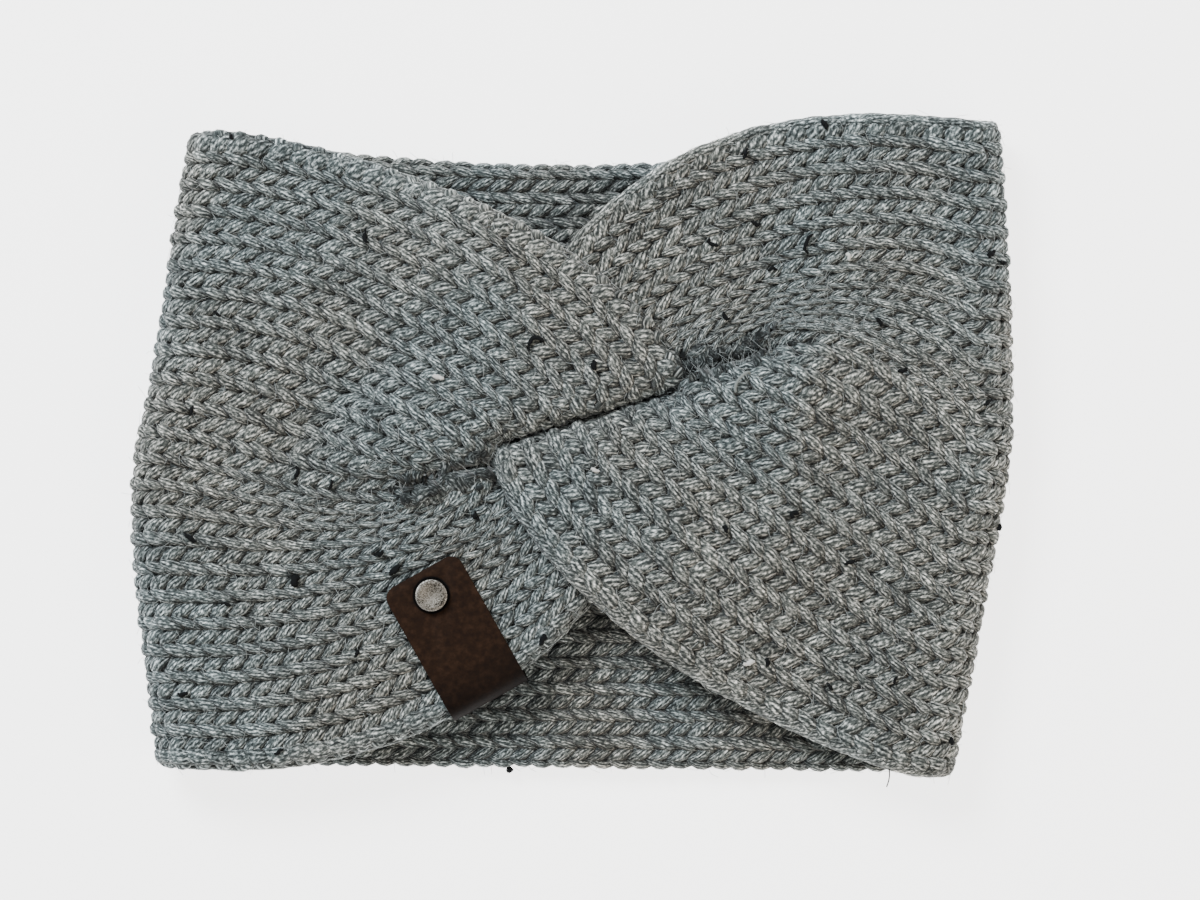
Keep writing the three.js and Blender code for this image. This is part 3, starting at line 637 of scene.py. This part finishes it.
def curl(spot, way, length, radius, rings):
    # a short felted tuft that winds about in the plane of the stitches
    aside = unit(np.cross(way, rng.normal(0, 1, 3)))
    ahead = np.cross(way, aside)
    heading = np.cumsum(rng.normal(0, neps["wander"], rings))
    steps = (np.cos(heading)[:, None] * ahead + np.sin(heading)[:, None] * aside) * length / rings
    path = spot + way * (radius * 0.3 + neps["above"]) + np.cumsum(steps, 0) - steps.sum(0) / 2
    path = path + way * rng.normal(0, neps["heightJitter"], (rings, 1))
    belly = neps["thinEnds"] + (1 - neps["thinEnds"]) * np.sin(np.pi * np.linspace(0.06, 0.94, rings))
    return path, radius * belly * (1 + rng.normal(0, neps["sizeJitter"], rings))


def tufts(name, rows, material):
    made = [curl(*topPlace(x, y), length, radius, neps["rings"]) for x, y, length, radius in rows]
    return threads(name, np.stack([m[0] for m in made]), np.stack([m[1] for m in made]), neps["sides"], material)


def plainFibre(name, code):
    made, _, shader = newMaterial(name)
    shader.inputs["Base Color"].default_value = linear(code)
    shader.inputs["Roughness"].default_value = 0.9
    shader.inputs["Specular IOR Level"].default_value = 0.15
    return made


paleFibre = plainFibre("pale wool fibre", "#a4a9a7")
blackWool = plainFibre("black wool", "#0d0f10")
whiteWool = plainFibre("white wool", "#c9c9c4")
darkNeps = tufts("dark_neps", neps["dark"], blackWool)
paleNeps = tufts("pale_neps", neps["pale"], whiteWool)

hair = {
    "x": 74.2, "y": -77.5, "length": 7.5, "radius": 0.17, "rings": 10, "sides": 6,
    "top": 17.5, "sway": 1.2, "back": 4,  # its start lies that far back on the knit
}


def strayHair():
    t = np.linspace(0, 1, hair["rings"])
    x = hair["x"] + hair["sway"] * np.sin(2.6 * t)
    y = hair["y"] + hair["back"] - hair["length"] * t
    path = np.stack([x, y, hair["top"] - 2 * t ** 2], -1)[None]
    return threads("stray_hair", path, np.full((1, hair["rings"]), hair["radius"]), hair["sides"], blackWool)


loop = {
    "knots": [(39.3, 13.6), (39.0, 15.6), (39.5, 17.4), (40.7, 18.2), (42.0, 17.9)],
    "radius": 0.34, "rings": 14, "sides": 10, "above": 0.5, "arch": 0.8, "colour": "#757b79",
}


def pulledLoop():
    # a pulled bit of yarn in the right end of the crease
    knots = np.stack([topPlace(x, y)[0] for x, y in loop["knots"]])
    share, fine = np.linspace(0, 1, len(knots)), np.linspace(0, 1, loop["rings"])
    level = np.linspace(knots[0, 2], knots[-1, 2], len(knots))
    knots[:, 2] = level + loop["above"] + loop["arch"] * np.sin(np.pi * share)
    path = np.stack([np.polyval(np.polyfit(share, knots[:, k], 3), fine) for k in range(3)], -1)[None]
    greyWool = plainFibre("grey wool", loop["colour"])
    return threads("pulled_loop", path, np.full((1, loop["rings"]), loop["radius"]), loop["sides"], greyWool)


fluff = {
    "count": 13000, "rings": 3, "sides": 3, "length": (1.2, 4.2), "radius": 0.042,
    "height": (-0.6, 0.2), "endGap": 8,
    # some of them lie in the crease's two ends
    "creaseShare": 0.11, "creaseReach": (22, 47), "creaseSpread": 1.3, "creaseDepth": (-2.5, 1.0),
    "creaseTop": {-1: 5.5, 1: 4.2}, "lowest": 0.1,
    "rise": (0.02, 0.3), "bend": 0.5, "sag": (0, 0.35),  # as shares of a fibre's length
    "tagTurn": (0.49, 0.872), "tagMiddle": 13, "tagClear": (21, 12),  # none over the tag
}


def looseFibres():
    count = fluff["count"]
    u = rng.uniform(uLine[0] + fluff["endGap"], uLine[-1] - fluff["endGap"], count)
    spot, way = onTube(u, rng.uniform(0, band["wales"], count), rng.uniform(*fluff["height"], count))
    creased = rng.uniform(size=count) < fluff["creaseShare"]
    side = rng.choice([-1, 1], count)
    out = rng.uniform(*fluff["creaseReach"], count)
    c, s = math.cos(band["seamTurn"]), math.sin(band["seamTurn"])
    off = rng.normal(0, fluff["creaseSpread"], count)
    top = np.where(side < 0, frontZ + fluff["creaseTop"][-1], frontZ + fluff["creaseTop"][1])
    x, y = band["knotX"] + side * out * c - off * s, band["knotY"] + side * out * s + off * c
    inCrease = np.stack([x, y, top + rng.uniform(*fluff["creaseDepth"], count)], -1) + band["shift"]
    spot[creased] = inCrease[creased]
    way[creased] = (0, 0, 1)
    ahead = unit(np.cross(way, rng.normal(0, 1, (count, 3))) + way * rng.uniform(*fluff["rise"], (count, 1)))
    bend = unit(np.cross(ahead, way)) * rng.normal(0, fluff["bend"], (count, 1))
    bend = bend - way * rng.uniform(*fluff["sag"], (count, 1))
    length = rng.uniform(*fluff["length"], count)[:, None, None]
    t = np.linspace(0, 1, fluff["rings"])[None, :, None]
    paths = spot[:, None] + length * (ahead[:, None] * t + bend[:, None] * t ** 2)
    paths[:, :, 2] = np.maximum(paths[:, :, 2], fluff["lowest"])
    tagS, tagC = fluff["tagTurn"]
    fromX, fromY = paths[:, 0, 0] - rivet["x"], paths[:, 0, 1] - rivet["y"]
    alongTag, asideTag = fromX * tagS - fromY * tagC, fromX * tagC + fromY * tagS
    longClear, wideClear = fluff["tagClear"]
    paths = paths[(np.abs(alongTag - fluff["tagMiddle"]) > longClear) | (np.abs(asideTag) > wideClear)]
    radii = np.full((len(paths), fluff["rings"]), fluff["radius"])
    return threads("loose_fibres", paths, radii, fluff["sides"], paleFibre)


hairPiece, loopPiece, fibres = strayHair(), pulledLoop(), looseFibres()
knitPieces = knitPieces + [darkNeps, paleNeps, hairPiece, loopPiece, fibres]
print("threads", len(darkNeps.data.polygons), len(fibres.data.polygons))

for piece in [knitGround] + knitPieces:
    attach(piece, "root")
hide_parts("knit_band")

# the leather tag, a copy of its solid with softened edges
tag = {
    # the ring sets a painted shadow round the rivet, and the fold a painted shade that darkens the leather away from
    # it
    "edge": 0.22, "grain": 1100.0, "mottle": 800.0, "wear": 45.0, "ring": (4.25, 4.65), "fold": (18.0, 31.0),
    "stops": [(0.3, "#180d07"), (0.5, "#20130a"), (0.7, "#2a1b11")], "rivetShadow": "#101010", "turned": "#4c4946",
    "roughness": (0.55, 0.7), "specular": 0.08, "bump": (0.3, 0.0002),
}


def onlySelect(piece):
    bpy.ops.object.select_all(action="DESELECT")
    piece.select_set(True)
    bpy.context.view_layer.objects.active = piece


def solidCopy(nodeName, name, material, edge, angle=30):
    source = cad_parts[nodeName]
    piece = source.copy()
    piece.data = source.data.copy()
    piece.name = name
    bpy.context.collection.objects.link(piece)
    piece.data.materials.clear()
    piece.data.materials.append(material)
    onlySelect(piece)
    bpy.ops.object.mode_set(mode="EDIT")
    bpy.ops.mesh.select_all(action="SELECT")
    bpy.ops.mesh.remove_doubles(threshold=0.00001)
    bpy.ops.mesh.dissolve_limited(angle_limit=math.radians(1))
    bpy.ops.object.mode_set(mode="OBJECT")
    rounding = piece.modifiers.new("rounding", "BEVEL")
    rounding.width = edge * mm
    rounding.segments = 3
    rounding.limit_method = "ANGLE"
    rounding.angle_limit = math.radians(angle)
    bpy.ops.object.modifier_apply(modifier="rounding")
    bpy.ops.object.shade_smooth_by_angle(angle=math.radians(35))
    return piece


def mapped(tree, source, values):
    return node(tree, "ShaderNodeMapRange", values={"Value": source, **values}).outputs["Result"]


def fromRivet(tree, place, near, far):
    # 0 inside the near radius and 1 outside the far one, both in mm from the rivet's middle
    flat = node(tree, "ShaderNodeMapping", values={"Vector": place, "Scale": (1, 1, 0)}).outputs["Vector"]
    ends = {0: flat, 1: (rivet["x"] * mm, rivet["y"] * mm, 0)}
    away = node(tree, "ShaderNodeVectorMath", {"operation": "DISTANCE"}, ends).outputs["Value"]
    return mapped(tree, away, {"From Min": near * mm, "From Max": far * mm})


def brownLeather():
    made, tree, shader = newMaterial("dark brown leather")
    place = node(tree, "ShaderNodeTexCoord").outputs["Object"]
    values = {"Vector": place, "Scale": tag["grain"]}
    grain = node(tree, "ShaderNodeTexVoronoi", {"feature": "DISTANCE_TO_EDGE"}, values).outputs["Distance"]
    brown = ramp(tree, noise(tree, place, tag["mottle"], 3.0), tag["stops"])
    # painted shadow: a dark ring in the leather just round the rivet's cap
    rivetShadowing = ramp(tree, fromRivet(tree, place, *tag["ring"]), [(0.0, tag["rivetShadow"]), (1.0, "#ffffff")])
    # painted shade: the leather darkens with distance from the rivet, towards the fold
    foldShading = ramp(tree, fromRivet(tree, place, *tag["fold"]), [(0.0, "#ffffff"), (1.0, tag["turned"])])
    shade = multiplied(tree, rivetShadowing, foldShading)
    smooth, worn = tag["roughness"]
    rough = mapped(tree, noise(tree, place, tag["wear"], 2.0), {"To Min": smooth, "To Max": worn})
    surfaceOf(tree, shader, multiplied(tree, brown, shade), grain, *tag["bump"])
    tree.links.new(rough, shader.inputs["Roughness"])
    shader.inputs["Specular IOR Level"].default_value = tag["specular"]
    return made


tagPiece = solidCopy("leather_tag", "tag_strap", brownLeather(), tag["edge"])
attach(tagPiece, "root")
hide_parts("leather_tag")
print("tag", len(tagPiece.data.polygons))

# the rivet, its cap dished and pitted
nickelLook = {
    "stainScale": 420.0, "stainShare": 0.22,
    "face": [(0.38, "#2b2825"), (0.45, "#77736c"), (0.52, "#a39f97"), (0.64, "#cbc8c1")],
    # the edge ramp paints a highlight ring near the cap's rim, then a dark outer edge
    "edge": [(0.0, "#c4c2be"), (0.5, "#c4c2be"), (0.64, "#ffffff"), (0.82, "#ffffff"), (0.9, "#14130f")],
    "roughness": {"From Min": 0.35, "From Max": 0.65, "To Min": 0.7, "To Max": 0.42}, "bump": (0.8, 0.00015),
}


def pittedNickel():
    made, tree, shader = newMaterial("antiqued nickel")
    place = node(tree, "ShaderNodeTexCoord").outputs["Object"]
    pits = noise(tree, place, rivet["pits"], 3.0, 0.65)
    both = blend(tree, nickelLook["stainShare"], pits, noise(tree, place, nickelLook["stainScale"], 2.0))
    face = ramp(tree, both, nickelLook["face"])
    # painted highlight: a bright ring near the cap's rim, then a dark outer edge
    edge = ramp(tree, fromRivet(tree, place, *rivet["worn"]), nickelLook["edge"])
    surfaceOf(tree, shader, multiplied(tree, face, edge), both, *nickelLook["bump"])
    tree.links.new(mapped(tree, both, nickelLook["roughness"]), shader.inputs["Roughness"])
    shader.inputs["Metallic"].default_value = 1.0
    return made


def dished(piece):
    top = max(p.center.z for p in piece.data.polygons)
    onlySelect(piece)
    bpy.ops.object.mode_set(mode="EDIT")
    bpy.ops.mesh.select_all(action="DESELECT")
    bpy.ops.mesh.select_mode(type="FACE")
    bpy.ops.object.mode_set(mode="OBJECT")
    for polygon in piece.data.polygons:
        polygon.select = polygon.center.z > top - 0.00002 and polygon.normal.z > 0.99
    bpy.ops.object.mode_set(mode="EDIT")
    bpy.ops.mesh.inset(thickness=rivet["rim"] * mm, depth=0)
    bpy.ops.mesh.inset(thickness=rivet["step"] * mm, depth=-rivet["dish"] * mm)
    bpy.ops.object.mode_set(mode="OBJECT")


nickel = pittedNickel()
for nodeName, name in (("rivet_cap", "rivet_front"), ("rivet_back", "rivet_rear")):
    piece = solidCopy(nodeName, name, nickel, rivet["edge"], 35)
    if nodeName == "rivet_cap":
        dished(piece)
    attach(piece, "root")
    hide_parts(nodeName)
    print(name, len(piece.data.polygons))

# floor, light and camera, in metres
studio = {
    "centre": (0.0067, -0.001), "span": 0.285, "height": 0.9, "knitTop": 0.016, "sensor": 36,
    "floorSize": 6, "floorDrop": 0.0006, "floorColour": "#f4f4f2", "floorGlow": 3.0, "worldGlow": 0.66,
    "window": ((-0.55, 0.75, 0.95), 0.6, 26, "#f2f8ff"),  # place, size, watts, colour
    "fill": ((0.9, -0.5, 0.9), 1.1, 10, "#ffecd8"),
}
bpy.ops.mesh.primitive_plane_add(size=studio["floorSize"], location=(0, 0, -studio["floorDrop"]))
floor = bpy.context.object
floor.name = "floor"
floorPaint, _, floorShader = newMaterial("pale paper")
floorShader.inputs["Base Color"].default_value = linear(studio["floorColour"])
floorShader.inputs["Roughness"].default_value = 0.9
floorShader.inputs["Emission Color"].default_value = linear("#ffffff")
floorShader.inputs["Emission Strength"].default_value = studio["floorGlow"]
floor.data.materials.append(floorPaint)


def softLight(name, place, size, watts, code):
    bpy.ops.object.light_add(type="AREA", location=place)
    light = bpy.context.object
    light.name = name
    light.data.shape = "DISK"
    light.data.size = size
    light.data.energy = watts
    light.data.color = linear(code)[:3]
    way = -np.array(place)  # towards the origin
    light.rotation_euler = (math.acos(-way[2] / np.linalg.norm(way)), 0, math.atan2(way[1], way[0]) - math.pi / 2)


softLight("window", *studio["window"])
softLight("fill", *studio["fill"])
world = bpy.data.worlds.new("studio")
bpy.context.scene.world = world
world.use_nodes = True
world.node_tree.nodes["Background"].inputs["Color"].default_value = (1, 1, 1, 1)
world.node_tree.nodes["Background"].inputs["Strength"].default_value = studio["worldGlow"]

bpy.ops.object.camera_add(location=(*studio["centre"], studio["height"]), rotation=(0, 0, 0))
camera = bpy.context.object
camera.data.sensor_width = studio["sensor"]
camera.data.lens = studio["sensor"] * (studio["height"] - studio["knitTop"]) / studio["span"]
camera.data.clip_end = 10
bpy.context.scene.camera = camera
